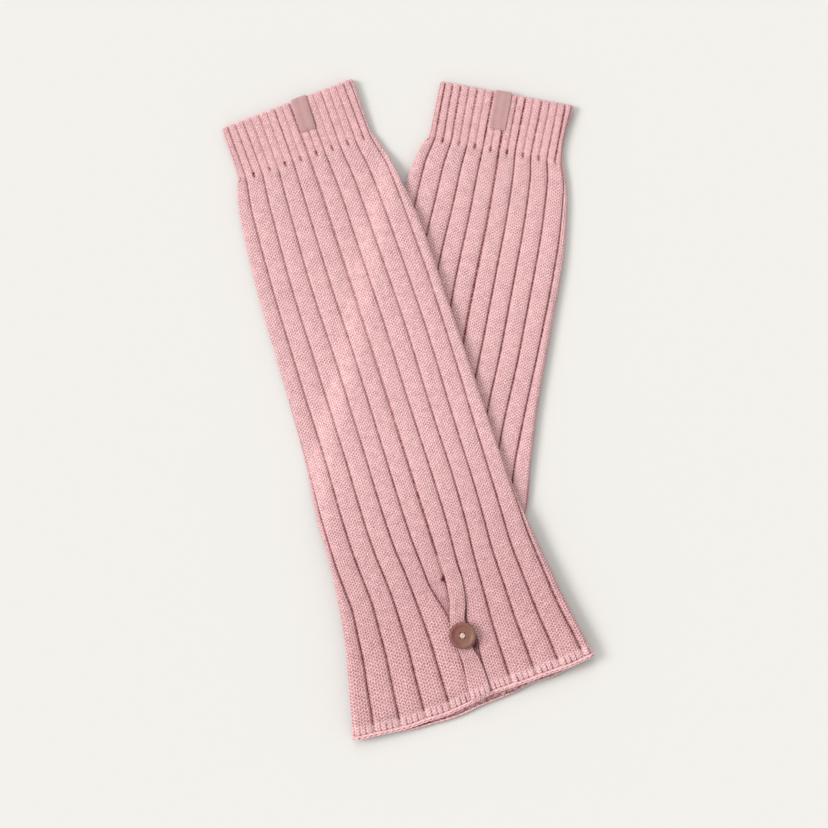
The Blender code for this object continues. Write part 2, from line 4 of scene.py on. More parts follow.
import bpy
import numpy as np
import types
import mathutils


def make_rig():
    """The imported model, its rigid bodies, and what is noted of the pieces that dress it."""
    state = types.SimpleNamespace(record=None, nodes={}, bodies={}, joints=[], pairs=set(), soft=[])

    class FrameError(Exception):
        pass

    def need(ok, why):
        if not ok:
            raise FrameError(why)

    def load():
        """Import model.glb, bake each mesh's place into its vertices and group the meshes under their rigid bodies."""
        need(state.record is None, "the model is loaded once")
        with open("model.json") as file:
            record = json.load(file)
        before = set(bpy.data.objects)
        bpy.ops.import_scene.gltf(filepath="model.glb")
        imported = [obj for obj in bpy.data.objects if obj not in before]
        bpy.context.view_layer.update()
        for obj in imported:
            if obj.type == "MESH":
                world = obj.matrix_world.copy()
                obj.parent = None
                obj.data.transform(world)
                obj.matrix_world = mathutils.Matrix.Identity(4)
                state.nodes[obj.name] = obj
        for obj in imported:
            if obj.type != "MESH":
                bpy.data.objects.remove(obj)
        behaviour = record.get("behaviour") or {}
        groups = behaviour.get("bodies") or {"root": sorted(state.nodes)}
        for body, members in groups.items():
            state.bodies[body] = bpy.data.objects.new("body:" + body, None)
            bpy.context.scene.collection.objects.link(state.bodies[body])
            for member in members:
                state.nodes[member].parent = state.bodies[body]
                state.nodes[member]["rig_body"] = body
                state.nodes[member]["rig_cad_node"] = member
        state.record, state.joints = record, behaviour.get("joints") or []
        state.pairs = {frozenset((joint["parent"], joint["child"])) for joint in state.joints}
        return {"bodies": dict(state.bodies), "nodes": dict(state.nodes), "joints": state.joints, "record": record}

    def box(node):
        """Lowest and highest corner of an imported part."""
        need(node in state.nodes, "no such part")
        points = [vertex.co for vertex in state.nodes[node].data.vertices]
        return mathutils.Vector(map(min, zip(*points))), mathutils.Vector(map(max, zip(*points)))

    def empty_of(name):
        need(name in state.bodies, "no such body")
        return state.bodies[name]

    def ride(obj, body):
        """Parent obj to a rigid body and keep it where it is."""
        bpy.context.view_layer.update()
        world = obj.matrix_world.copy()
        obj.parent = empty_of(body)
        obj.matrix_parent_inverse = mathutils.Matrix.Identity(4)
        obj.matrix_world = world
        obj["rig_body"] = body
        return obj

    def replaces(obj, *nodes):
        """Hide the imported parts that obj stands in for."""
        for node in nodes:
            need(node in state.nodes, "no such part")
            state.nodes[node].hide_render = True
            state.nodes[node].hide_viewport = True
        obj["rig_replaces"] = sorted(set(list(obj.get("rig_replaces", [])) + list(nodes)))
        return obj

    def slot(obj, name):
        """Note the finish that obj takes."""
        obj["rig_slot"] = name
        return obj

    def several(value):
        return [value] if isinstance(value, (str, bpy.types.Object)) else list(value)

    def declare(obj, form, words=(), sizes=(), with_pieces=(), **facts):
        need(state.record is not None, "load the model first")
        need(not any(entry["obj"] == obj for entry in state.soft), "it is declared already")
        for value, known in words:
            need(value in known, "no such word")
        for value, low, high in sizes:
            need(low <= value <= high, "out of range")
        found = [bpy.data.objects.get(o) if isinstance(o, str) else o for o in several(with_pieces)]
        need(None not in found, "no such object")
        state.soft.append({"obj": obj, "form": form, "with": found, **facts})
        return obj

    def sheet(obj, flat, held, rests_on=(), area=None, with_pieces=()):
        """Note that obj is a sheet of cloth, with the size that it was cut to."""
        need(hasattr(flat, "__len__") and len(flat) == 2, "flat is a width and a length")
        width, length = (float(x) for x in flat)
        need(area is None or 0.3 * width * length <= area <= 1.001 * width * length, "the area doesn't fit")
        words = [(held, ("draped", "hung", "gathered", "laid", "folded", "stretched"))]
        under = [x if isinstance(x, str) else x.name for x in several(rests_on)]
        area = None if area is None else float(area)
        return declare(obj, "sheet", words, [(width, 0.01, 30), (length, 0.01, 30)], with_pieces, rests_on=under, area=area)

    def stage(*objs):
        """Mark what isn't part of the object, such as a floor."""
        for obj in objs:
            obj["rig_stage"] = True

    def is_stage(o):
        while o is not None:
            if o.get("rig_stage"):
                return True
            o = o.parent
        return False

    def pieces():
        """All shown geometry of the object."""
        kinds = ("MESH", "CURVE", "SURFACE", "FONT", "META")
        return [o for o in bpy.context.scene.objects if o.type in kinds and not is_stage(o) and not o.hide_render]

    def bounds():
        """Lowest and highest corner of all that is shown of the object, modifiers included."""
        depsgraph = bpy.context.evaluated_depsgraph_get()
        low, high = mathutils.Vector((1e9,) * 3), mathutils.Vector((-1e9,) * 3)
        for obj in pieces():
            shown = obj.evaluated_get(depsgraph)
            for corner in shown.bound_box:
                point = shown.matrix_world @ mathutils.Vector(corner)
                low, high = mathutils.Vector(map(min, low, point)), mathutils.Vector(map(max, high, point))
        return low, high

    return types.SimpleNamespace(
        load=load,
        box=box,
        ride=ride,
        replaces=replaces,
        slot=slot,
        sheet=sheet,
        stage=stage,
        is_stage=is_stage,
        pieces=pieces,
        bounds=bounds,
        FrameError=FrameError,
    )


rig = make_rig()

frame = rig.load()
cad_low, cad_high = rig.bounds()

# ---------------------------------------------------------------- the two legs
# Each leg warmer is one seamless tube of chunky rib knit in a dusty pink wool and acrylic
# yarn, twenty broad ribs round, narrow at its cuff and flared at its hem. The pair lies flat
# and crossed: the lower one on the surface, the upper one over it, draping down beside it.

MM = 0.001
WALL = 1.8
BACK_WALL = 2.4
PLY_GAP = 0.5
MOUTH_GAP = 1.5
CUFF_LENGTH = 33.0
HEM_HEIGHT = 2.6
RIB_RISE = 1.2
GROOVE_DEPTH = 0.9
GROOVE_HALF = 0.25
TUFT_BAND = 9.2
CUFF_RISE = 0.6
FINE_DEPTH = 0.45
SLANT_FADE = 60.0
DRAPE_MARGIN = 4.0
DRAPE_LENGTH = 20.0
DRAPE_HEIGHT = 6.2
VENT_TOP = 319.0
HOLE_DOWN = 323.5
HALF_ROUND = 10

width_row = np.dtype([(name, float) for name in (
    "down", "left", "right", "near_left", "near_right", "second", "pitch_left", "pitch_right")])
upper_widths = np.array([
    (0.0, 45.0, 46.0, 10.6, 10.6, 21.4, 10.7, 10.5),
    (33.0, 44.5, 47.0, 10.8, 10.8, 21.6, 10.8, 10.6),
    (39.0, 46.5, 48.8, 10.9, 10.9, 21.8, 11.0, 10.7),
    (52.0, 49.6, 52.7, 11.5, 11.5, 23.0, 11.6, 11.4),
    (65.0, 51.5, 54.8, 11.9, 11.9, 23.6, 12.0, 11.7),
    (97.0, 54.5, 59.3, 12.2, 12.2, 24.4, 12.3, 12.1),
    (130.0, 56.0, 60.5, 12.5, 12.5, 25.0, 12.6, 12.3),
    (195.0, 57.4, 62.5, 12.5, 12.5, 25.0, 12.8, 12.2),
    (228.0, 58.9, 63.5, 12.6, 12.6, 25.2, 12.9, 12.0),
    (260.0, 62.0, 64.8, 12.8, 12.8, 25.4, 13.1, 11.8),
    (292.0, 62.7, 66.2, 12.4, 12.4, 24.6, 13.4, 12.0),
    (312.0, 64.3, 68.5, 11.2, 11.2, 23.0, 13.6, 12.6),
    (325.0, 65.7, 70.2, 10.4, 10.4, 22.3, 13.6, 13.2),
    (345.0, 68.7, 72.9, 5.4, 7.0, 21.5, 14.4, 14.1),
    (352.0, 70.2, 73.8, 4.3, 5.0, 21.2, 14.7, 14.4),
    (358.0, 72.0, 74.8, 3.6, 6.2, 21.0, 15.0, 14.7),
    (365.0, 73.6, 75.9, 3.8, 8.2, 21.0, 15.4, 15.0),
    (373.0, 75.6, 77.2, 4.3, 7.6, 21.1, 15.9, 15.4),
    (381.0, 77.6, 78.6, 4.7, 6.7, 21.3, 16.3, 15.8),
    (390.0, 79.8, 80.0, 5.0, 6.6, 21.4, 16.8, 16.2),
    (402.0, 83.5, 82.6, 5.6, 7.2, 21.8, 17.5, 16.5),
], width_row)
lower_widths = np.array([
    (0.0, 42.5, 45.8, 10.6, 10.6, 21.2, 10.6, 10.6),
    (20.0, 43.0, 43.6, 10.6, 10.6, 21.2, 10.6, 10.6),
    (34.0, 43.5, 45.2, 10.6, 10.6, 21.2, 10.6, 10.6),
    (39.0, 46.0, 46.8, 10.9, 10.9, 21.8, 10.9, 10.9),
    (49.0, 49.0, 50.0, 11.5, 11.5, 23.0, 11.6, 11.4),
    (65.0, 52.0, 53.0, 11.9, 11.9, 23.7, 12.0, 11.7),
    (97.0, 54.5, 56.5, 12.3, 12.3, 24.6, 12.4, 12.1),
    (130.0, 55.0, 57.0, 12.5, 12.5, 25.0, 12.5, 12.2),
    (195.0, 57.0, 58.0, 12.3, 12.3, 24.4, 12.5, 12.1),
    (228.0, 58.5, 60.6, 12.3, 12.3, 24.4, 12.6, 12.1),
    (260.0, 61.0, 63.0, 12.5, 12.5, 24.8, 12.8, 12.2),
    (295.0, 60.8, 59.5, 12.4, 12.4, 24.8, 12.6, 12.0),
    (338.0, 63.5, 64.5, 13.0, 13.0, 26.0, 13.2, 12.8),
    (385.0, 73.0, 75.0, 15.0, 15.0, 30.0, 15.0, 14.8),
], width_row)

# How far the hem's edge hangs past the leg's own length, in front and behind.
hem_row = np.dtype([(name, float) for name in ("across", "front", "back")])
upper_hem_edge = np.array([
    (-83.0, 3.4, 2.0),
    (-75.0, 4.4, 4.5),
    (-65.0, 5.2, 5.5),
    (-55.0, 6.2, 6.8),
    (-45.0, 6.7, 8.6),
    (-32.0, 6.2, 9.0),
    (-20.0, 6.2, 9.4),
    (-10.0, 4.9, 9.0),
    (-3.0, 3.8, 8.0),
    (5.0, 2.6, 7.0),
    (13.0, 1.6, 6.4),
    (26.0, 1.3, 5.4),
    (39.0, 1.0, 2.8),
    (52.0, 0.3, 3.2),
    (65.0, 0.0, 0.8),
    (78.0, -1.6, -1.2),
    (83.0, -2.4, -2.4),
], hem_row)
lower_hem_edge = np.array([(-75.0, 0.0, 0.0), (0.0, 0.0, 0.0), (75.0, 0.0, 0.0)], hem_row)

# How far the front's ribs lie to the right of the leg's centre line, and how open the grooves are: this sets how deep
# they sink and how much shade is painted in them.
lean_row = np.dtype([(name, float) for name in ("down", "groove", "open")])
upper_lean = np.array([
    (-3.0, 1.7, 0.65),
    (14.0, 2.6, 0.65),
    (33.0, 3.5, 0.55),
    (58.0, 4.3, 0.5),
    (97.0, 4.5, 0.5),
    (130.0, 4.8, 0.5),
    (165.0, 5.0, 0.5),
    (235.0, 5.0, 0.7),
    (330.0, 5.0, 1.2),
    (402.0, 5.0, 1.2),
], lean_row)
lower_lean = np.array([
    (-3.0, 3.2, 1.4),
    (34.0, 3.2, 1.1),
    (46.0, 3.7, 0.85),
    (80.0, 4.1, 0.85),
    (110.0, 3.6, 1.0),
    (135.0, 3.2, 1.1),
    (165.0, 2.9, 1.15),
    (200.0, 2.2, 1.2),
    (240.0, 2.0, 1.2),
    (385.0, 3.2, 1.2),
], lean_row)


def smooth(t):
    """0 to 1 with a level start and end."""
    t = np.clip(t, 0.0, 1.0)
    return t * t * (3 - 2 * t)


def column_at(table, name, where):
    """A named column of a table, on a smooth curve through its rows. The first column says where."""
    d, v = table[table.dtype.names[0]], table[name]
    slope = np.gradient(v, d)
    slope[1:-1] = (v[2:] - v[:-2]) / (d[2:] - d[:-2])
    i = np.clip(np.searchsorted(d, where, "right") - 1, 0, len(d) - 2)
    span = d[i + 1] - d[i]
    t = np.clip((where - d[i]) / span, 0, 1)
    return (v[i] * (2 * t**3 - 3 * t**2 + 1) + slope[i] * span * (t**3 - 2 * t**2 + t)
            + v[i + 1] * (3 * t**2 - 2 * t**3) + slope[i + 1] * span * (t**3 - t**2))


class Tube:
    """One leg warmer's lie: its widths, its centre line on the surface and what it lies on.

    The centre line sets out from top at one heading and turns to the other along the bend.
    """

    def __init__(self, name, widths, hem_edge, lean, top, heading, end_heading, bend, top_edge, top_slant,
                 below=None):
        self.name = name
        self.widths = widths
        self.hem_edge = hem_edge
        self.lean = lean
        self.top_edge = top_edge
        self.top_slant = top_slant
        self.below = below
        self.length = float(widths["down"][-1])
        stations = []
        x, y = top
        for step in range(int(self.length) + 12):
            turn = float(smooth((step - bend[0]) / (bend[1] - bend[0])))
            angle = math.radians(heading + (end_heading - heading) * turn)
            stations.append((x, y, math.sin(angle), -math.cos(angle)))
            x += math.sin(angle)
            y -= math.cos(angle)
        self.stations = np.array(stations)

    def width(self, name, down):
        return column_at(self.widths, name, down)

    def place(self, across, down):
        """Points on the surface, from distances across and down the leg."""
        across, down = np.broadcast_arrays(np.asarray(across, float), np.asarray(down, float))
        i = np.clip(down.astype(int), 0, len(self.stations) - 1)
        x, y, along_x, along_y = np.moveaxis(self.stations[i], -1, 0)
        rest = down - i
        return x + rest * along_x - across * along_y, y + rest * along_y + across * along_x

    def beyond(self, x, y):
        """How far points of the surface lie outside this leg's outline."""
        flat_x, flat_y = x.ravel(), y.ravel()
        stops = np.arange(0, int(self.length) + 1, 2)
        nearest = np.empty(flat_x.size, int)
        for start in range(0, flat_x.size, 20000):
            part = slice(start, start + 20000)
            away = ((flat_x[part, None] - self.stations[None, stops, 0]) ** 2
                    + (flat_y[part, None] - self.stations[None, stops, 1]) ** 2)
            nearest[part] = stops[away.argmin(1)]
        at_x, at_y, along_x, along_y = self.stations[nearest].T
        across = -(flat_x - at_x) * along_y + (flat_y - at_y) * along_x
        down = nearest + (flat_x - at_x) * along_x + (flat_y - at_y) * along_y
        side = np.maximum(across - self.width("right", down), -self.width("left", down) - across)
        end = np.maximum(-down, down - self.length)
        away = np.where((side > 0) & (end > 0), np.hypot(side, end), np.maximum(side, end))
        return away.reshape(x.shape)

    def slanted(self, across, down, front=1.0):
        """Distances down, moved to follow the slant of the top edge and the line of the hem."""
        to_hem = smooth(1 - (self.length - down) / SLANT_FADE)
        edge = (front * column_at(self.hem_edge, "front", across)
                + (1 - front) * column_at(self.hem_edge, "back", across))
        return down + across * self.top_slant * smooth(1 - down / SLANT_FADE) + edge * to_hem

    def support(self, x, y):
        """Height of what lies under the cloth: the surface, or the leg below it."""
        if self.below is None:
            return np.zeros(np.shape(x))
        return DRAPE_HEIGHT * (1 - smooth((self.below.beyond(x, y) - DRAPE_MARGIN) / DRAPE_LENGTH))

    def slit_half(self, down):
        """Half the gap between the two sides of the middle groove. It opens at the vent."""
        if self.below is None:
            return np.full(np.shape(down), GROOVE_HALF)
        hole = smooth((down - HOLE_DOWN + 2.5) / 2) * (1 - smooth((down - HOLE_DOWN) / 2))
        return GROOVE_HALF - 0.22 * smooth((down - VENT_TOP) / 3) + 1.0 * hole


def drift(a, b, turn):
    """A slow, uneven wander from -1 to 1, as cloth laid by hand has."""
    return (0.5 * np.sin(a + 1.7 * np.sin(0.61 * b + turn)) + 0.3 * np.sin(1.9 * a - 0.8 * b + 2.1 * turn)
            + 0.2 * np.sin(0.7 * a + 2.3 * b - turn))


def scattered(count):
    """A fixed number from 0 to 1 for each whole count, in no order."""
    return (np.sin(12.9898 * count) * 43758.5) % 1


def from_whole(count):
    """0 at each whole count, where a groove lies, and 1 half-way to the next."""
    return 1 - np.abs(2 * (count % 1) - 1)


def from_middle(wales):
    """0 at the middle of each wale and 1 in the valley between two."""
    return 2 * np.abs((wales + 0.5) % 1 - 0.5)


def ply_gap(down):
    """The space between the front and back of the tube, wider at the cuff's mouth."""
    return PLY_GAP + (MOUTH_GAP - PLY_GAP) * (1 - smooth(down / CUFF_LENGTH))


def cloth_points(tube, ribs, down, lift, outside):
    """Points of the wall from counts of ribs round the tube and distances down it.

    ribs runs from 0 at the front's middle groove to 10 or -10 at the back's middle. lift is
    how far the outside stands above the wall.
    """
    side = np.where(np.signbit(ribs), -1.0, 1.0)
    count = np.abs(ribs)
    near = np.where(side > 0, tube.width("near_right", down), tube.width("near_left", down))
    pitch = np.where(side > 0, tube.width("pitch_right", down), tube.width("pitch_left", down))
    second = tube.width("second", down)
    groove = column_at(tube.lean, "groove", down)
    gap = ply_gap(down)
    radius = (BACK_WALL + gap + WALL + RIB_RISE) / 2
    tangent = np.where(side > 0, tube.width("right", down), tube.width("left", down)) - radius
    half = tube.slit_half(down)
    reach = np.where(count <= 1, half + (near - half) * count, near + (second - near) * (count - 1))
    reach = np.where(count > 2, second + pitch * (count - 2), reach)
    fold_count = 2 + (tangent - side * groove - second) / pitch
    back_pitch = (np.pi * radius + tangent) / (HALF_ROUND - fold_count)
    past = (count - fold_count) * back_pitch
    turn = np.clip(past / radius, 0, np.pi)
    share = (1 + np.cos(turn)) / 2
    bulge = radius + lift - 0.7 * RIB_RISE if outside else radius - WALL
    across = np.where(past <= 0, groove + side * reach, side * (tangent + bulge * np.sin(turn)))
    across = np.where(past >= np.pi * radius, side * (tangent - (past - np.pi * radius)), across)
    sway = drift(down / 27 + 0.4 * side, count * 0.7 * side, 1.3) * smooth((tangent - np.abs(across)) / 9)
    across = across + 0.45 * sway * smooth(count / 2)
    if outside:
        under = np.clip(0.6 * (RIB_RISE - lift), 0, 1.1)
        height = share * (BACK_WALL + gap + WALL + lift) + (1 - share) * under
    else:
        height = BACK_WALL + gap * share
    x, y = tube.place(across, tube.slanted(across, down, share))
    waves = 0.15 * drift(across / 15, down / 21, 0.4) * share * smooth((down - 8) / 30)
    return np.stack([x, y, tube.support(x, y) + height + waves], -1)


def wales_of(ribs, per_rib, groove):
    """Counts wales round the tube. Each groove is one sunk wale, centred on a whole count."""
    whole, part = np.floor(ribs), ribs - np.floor(ribs)
    wales = 0.5 + per_rib * (part - groove / 2) / (1 - groove)
    wales = np.where(part < groove / 2, part / groove, wales)
    wales = np.where(part > 1 - groove / 2, per_rib + 1 - (1 - part) / groove, wales)
    return whole * (per_rib + 1) + wales


def rib_columns(half_round, reach, steps, back_steps, per_rib, groove):
    """Counts of ribs at the mesh's columns, and their wales.

    half_round is the count of ribs each way round. The columns are close together out to
    reach on the front and wider apart behind. groove is its share of a rib's width.
    """
    marks = []
    for rib in range(half_round):
        count = steps if rib < reach else back_steps
        marks += [float(rib)] + [rib + groove / 2 + (1 - groove) * i / count for i in range(count + 1)]
    marks = np.array(marks)
    ribs = np.concatenate([marks, [float(half_round)], -marks[::-1]])
    wales = wales_of(ribs, per_rib, groove)
    return ribs, np.where(np.signbit(ribs), wales + 2 * half_round * (per_rib + 1), wales)


broad_ribs, broad_wales = rib_columns(HALF_ROUND, reach=6, steps=16, back_steps=4, per_rib=4, groove=0.12)

COURSE = 2.04
STITCH_HEIGHT = 0.45
LEG_SLANT = 0.9
LOOSE_FROM = 235.0
LOOSE_RUN = 118.0
TIGHT_COURSES = 17.5
TUFT_COURSE = 192.6


def stitch_relief(wales, courses):
    """The stitches' own relief, 0 to 1: two slanting legs in each wale, one pair a course."""
    leg = from_middle(wales)
    strand = 0.5 + 0.5 * np.cos(2 * np.pi * (courses + LEG_SLANT * leg))
    return np.sin(np.pi * leg) ** 0.6 * (0.6 + 0.4 * strand)


def record_stitches(mesh, u, v, depth, laps=0.0):
    """Keeps the wale and course of each point as UV, and how far it lies out of the painted shade of grooves and
    hollows.
    """
    corners = np.empty(len(mesh.loops), np.int32)
    mesh.loops.foreach_get("vertex_index", corners)
    uv = np.stack([u[corners] + laps, v[corners]], -1).astype(np.float32)
    mesh.uv_layers.new(name="stitches").data.foreach_set("uv", uv.ravel())
    data = mesh.attributes.new("depth", "FLOAT", "POINT").data
    data.foreach_set("value", np.ascontiguousarray(depth, np.float32).ravel())


def make_cloth(name, outer, inner, inner_rows, wales, courses, depth, material, slit=None):
    """A closed wall of cloth from its outside and its inside, which has fewer rows.

    The columns run round from the right side of the middle groove to its left side. From the
    row named by slit on, the wall is open between the two. The last share is 0 where the groove
    colour is painted on as shade, and 1 where none is.
    """
    rows, columns = outer.shape[:2]
    start = rows * columns
    lap = float(round(wales[-1] - wales[0]))
    faces, laps = [], []

    def add(face, wraps):
        faces.append(face)
        laps.extend(lap if w else 0.0 for w in wraps)

    for c in range(columns):
        n = (c + 1) % columns
        w = n == 0
        closed = rows - 1 if slit is None or not w else slit
        for r in range(closed):
            a, b = r * columns, (r + 1) * columns
            add((a + c, b + c, b + n, a + n), (0, 0, w, w))
        for k in range(len(inner_rows) - 1):
            if inner_rows[k] < closed:
                a, b = start + k * columns, start + (k + 1) * columns
                add((a + c, a + n, b + n, b + c), (0, w, w, 0))
        k = len(inner_rows) - 1 if closed == rows - 1 else inner_rows.index(slit)
        a, b = closed * columns, start + k * columns
        add((c, n, start + n, start + c), (0, w, w, 0))
        add((a + c, b + c, b + n, a + n), (0, 0, w, w))
    if slit is not None:
        for k in range(inner_rows.index(slit), len(inner_rows) - 1):
            down = range(inner_rows[k], inner_rows[k + 1] + 1)
            a, b = start + k * columns, start + (k + 1) * columns
            left = columns - 1
            add([i * columns + left for i in down] + [b + left, a + left], [0] * (len(down) + 2))
            add([i * columns for i in reversed(down)] + [a, b], [0] * (len(down) + 2))
    mesh = bpy.data.meshes.new(name)
    points = np.concatenate([outer.reshape(-1, 3), inner.reshape(-1, 3)]) * MM
    mesh.from_pydata(points.tolist(), [], faces)
    u = np.concatenate([np.tile(wales, rows), np.tile(wales, len(inner_rows))])
    v = np.concatenate([np.repeat(courses, columns), np.repeat(courses[inner_rows], columns)])
    depth = np.concatenate([depth.ravel(), depth[inner_rows].ravel()])
    record_stitches(mesh, u, v, depth, laps)
    return finish_piece(name, mesh, material)


def finish_piece(name, mesh, material):
    """Puts a finished mesh in the scene, shaded smooth, in its material."""
    mesh.shade_smooth()
    mesh.set_sharp_from_angle(angle=math.radians(75))
    mesh.materials.append(material)
    obj = bpy.data.objects.new(name, mesh)
    bpy.context.scene.collection.objects.link(obj)
    return obj


class Shade:
    """A shader socket that takes part in sums: each operation adds a Math node to its tree."""

    def __init__(self, tree, socket=None):
        self.tree = tree
        self.socket = socket

    def node(self, kind, settings=None, sockets=None, output=0):
        """Adds any node: its settings first, then the values or links of its sockets."""
        made = self.tree.nodes.new(kind)
        for key, value in (settings or {}).items():
            if key != "stops":
                setattr(made, key, value)
                continue
            while len(made.color_ramp.elements) < len(value):
                made.color_ramp.elements.new(1.0)
            for stop, (place, colour) in zip(made.color_ramp.elements, value):
                stop.position, stop.color = place, (*colour, 1.0)
        for key, value in (sockets or {}).items():
            if isinstance(value, Shade):
                self.tree.links.new(value.socket, made.inputs[key])
            else:
                made.inputs[key].default_value = value
        return Shade(self.tree, made.outputs[output])

    def maths(self, operation, a, b=0.0, clamp=False):
        return self.node("ShaderNodeMath", {"operation": operation, "use_clamp": clamp}, {0: a, 1: b})

    def mix(self, first, second):
        """A colour from first, where this is 0, to second, where it is 1."""
        colours = [c if isinstance(c, Shade) else (*c, 1.0) for c in (first, second)]
        sockets = {0: self, 6: colours[0], 7: colours[1]}
        return self.node("ShaderNodeMix", {"data_type": "RGBA"}, sockets, 2)

    def noise(self, scale, detail=2.0, rough=0.5):
        sockets = {"Vector": self, "Scale": scale, "Detail": detail, "Roughness": rough}
        return self.node("ShaderNodeTexNoise", {}, sockets)

    def clamped(self):
        return self.maths("ADD", self, 0.0, True)

    def __add__(self, other):
        return self.maths("ADD", self, other)

    def __sub__(self, other):
        return self.maths("SUBTRACT", self, other)

    def __rsub__(self, other):
        return self.maths("SUBTRACT", other, self)

    def __mul__(self, other):
        return self.maths("MULTIPLY", self, other)

    def __pow__(self, other):
        return self.maths("POWER", self, other)


def new_material(name, roughness, **constants):
    """A material whose Principled shader has these constants, and its tree's first wrapper."""
    material = bpy.data.materials.new(name)
    material.use_nodes = True
    shader = material.node_tree.nodes["Principled BSDF"]
    shader.inputs["Roughness"].default_value = roughness
    for key, value in constants.items():
        shader.inputs[key.replace("_", " ")].default_value = value
    return material, Shade(material.node_tree), shader


def wale_and_course(shade):
    """The counts of wales and courses that a piece keeps as its UV."""
    stitch_map = shade.node("ShaderNodeUVMap", {"uv_map": "stitches"})
    counts = shade.node("ShaderNodeSeparateXYZ", {}, {0: stitch_map})
    return counts, Shade(counts.tree, counts.socket.node.outputs[1])


def put_on(shader, colour, relief, strength, distance):
    """Links a colour and a bump of the given relief to a shader."""
    relief.tree.links.new(colour.socket, shader.inputs["Base Color"])
    bump = relief.node("ShaderNodeBump", {}, {"Strength": strength, "Distance": distance, "Height": relief})
    relief.tree.links.new(bump.socket, shader.inputs["Normal"])


# The stitches' tone runs from YARN_SHADED, painted shade in the gaps between the yarn's legs, to YARN_LIGHT on the
# legs themselves. The groove colour is painted shade for grooves and hollows.
YARN_LIGHT = (0.96, 0.625, 0.635)
YARN_SHADED = (0.33, 0.125, 0.135)
PAINTED_GROOVE_SHADE = (0.20, 0.038, 0.046)
knit, shade, shader = new_material("dusty_pink_knit", 0.92, Sheen_Weight=0.07, Sheen_Roughness=0.5,
                                   Sheen_Tint=(1.0, 0.7, 0.7, 1.0), Specular_IOR_Level=0.05)
place = shade.node("ShaderNodeTexCoord", output=3)
wale, course = wale_and_course(shade)
wale = wale + (place.noise(420.0, 3.0, 0.7) - 0.5) * 0.4
course = course + (place.noise(300.0, 3.0, 0.7) - 0.5) * 0.9
leg = shade.maths("ABSOLUTE", shade.maths("FRACT", wale + 0.5) - 0.5) * 2.0
strand = shade.maths("COSINE", (course + leg * LEG_SLANT) * math.tau) * 0.5 + 0.5
loose = ((course - LOOSE_FROM / COURSE) * (COURSE / LOOSE_RUN)).clamped()
tight = (TIGHT_COURSES - course).clamped()
stitch = shade.maths("SINE", leg * math.pi) ** (loose * 0.6 + 0.5) * (strand * 0.8 + 0.2)
knot = shade.maths("COSINE", wale * math.tau) * shade.maths("COSINE", (course + 0.2) * math.tau)
evenness = shade.maths("MAXIMUM", (place.noise(240.0) - 0.5) * 1.4 + 1.0, 0.4)
fibre = place.noise(1000.0, 4.0, 0.75)
melange = place.noise(75.0, 3.0, 0.6)
tuft = (course - TUFT_COURSE).clamped()
# The gaps between the stitches take painted shade. Toward the hem they take more, and the whole tone is a little
# darker.
woven = (stitch - 0.44) * (0.85 - loose * 0.3) + knot * (loose * 0.1 + 0.22)
stitched = woven * evenness * (0.64 - tight * 0.3 - loose * 0.1) - loose * (0.95 - stitch) * 0.25
tone = stitched * (1 - tuft * 0.6) + tuft * 0.22 - loose * 0.02 - tight * 0.08
tone = tone + (fibre - 0.5) * (tight * 0.9 + 0.6) + (melange - 0.5) * 0.1 + 0.62
# This attribute says where the groove colour is painted on as shade. The shade breaks into dots along each course.
depth = shade.node("ShaderNodeAttribute", {"attribute_name": "depth"}, output=2).clamped()
rung = shade.maths("COSINE", course * math.tau) * 0.5 + 0.5
ragged = depth + (1 - depth) * (rung * 0.4 + (place.noise(520.0) - 0.5) * 2.6)
colour = ragged.clamped().mix(PAINTED_GROOVE_SHADE, tone.clamped().mix(YARN_SHADED, YARN_LIGHT))
relief = (stitch * 0.6 + knot * 0.2) * evenness * (1 - tight * 0.4) + fibre * 0.4
put_on(shader, colour, relief, 1.0, 0.9 * MM)


def fine_depth(fine, down):
    """How deep each of the cuff's fine grooves is, 0.2 to 1: some are pressed shut."""
    return 0.6 + 0.4 * np.clip(2 * drift(2.9 * np.round(fine), down / 60, 0.9), -1, 1)


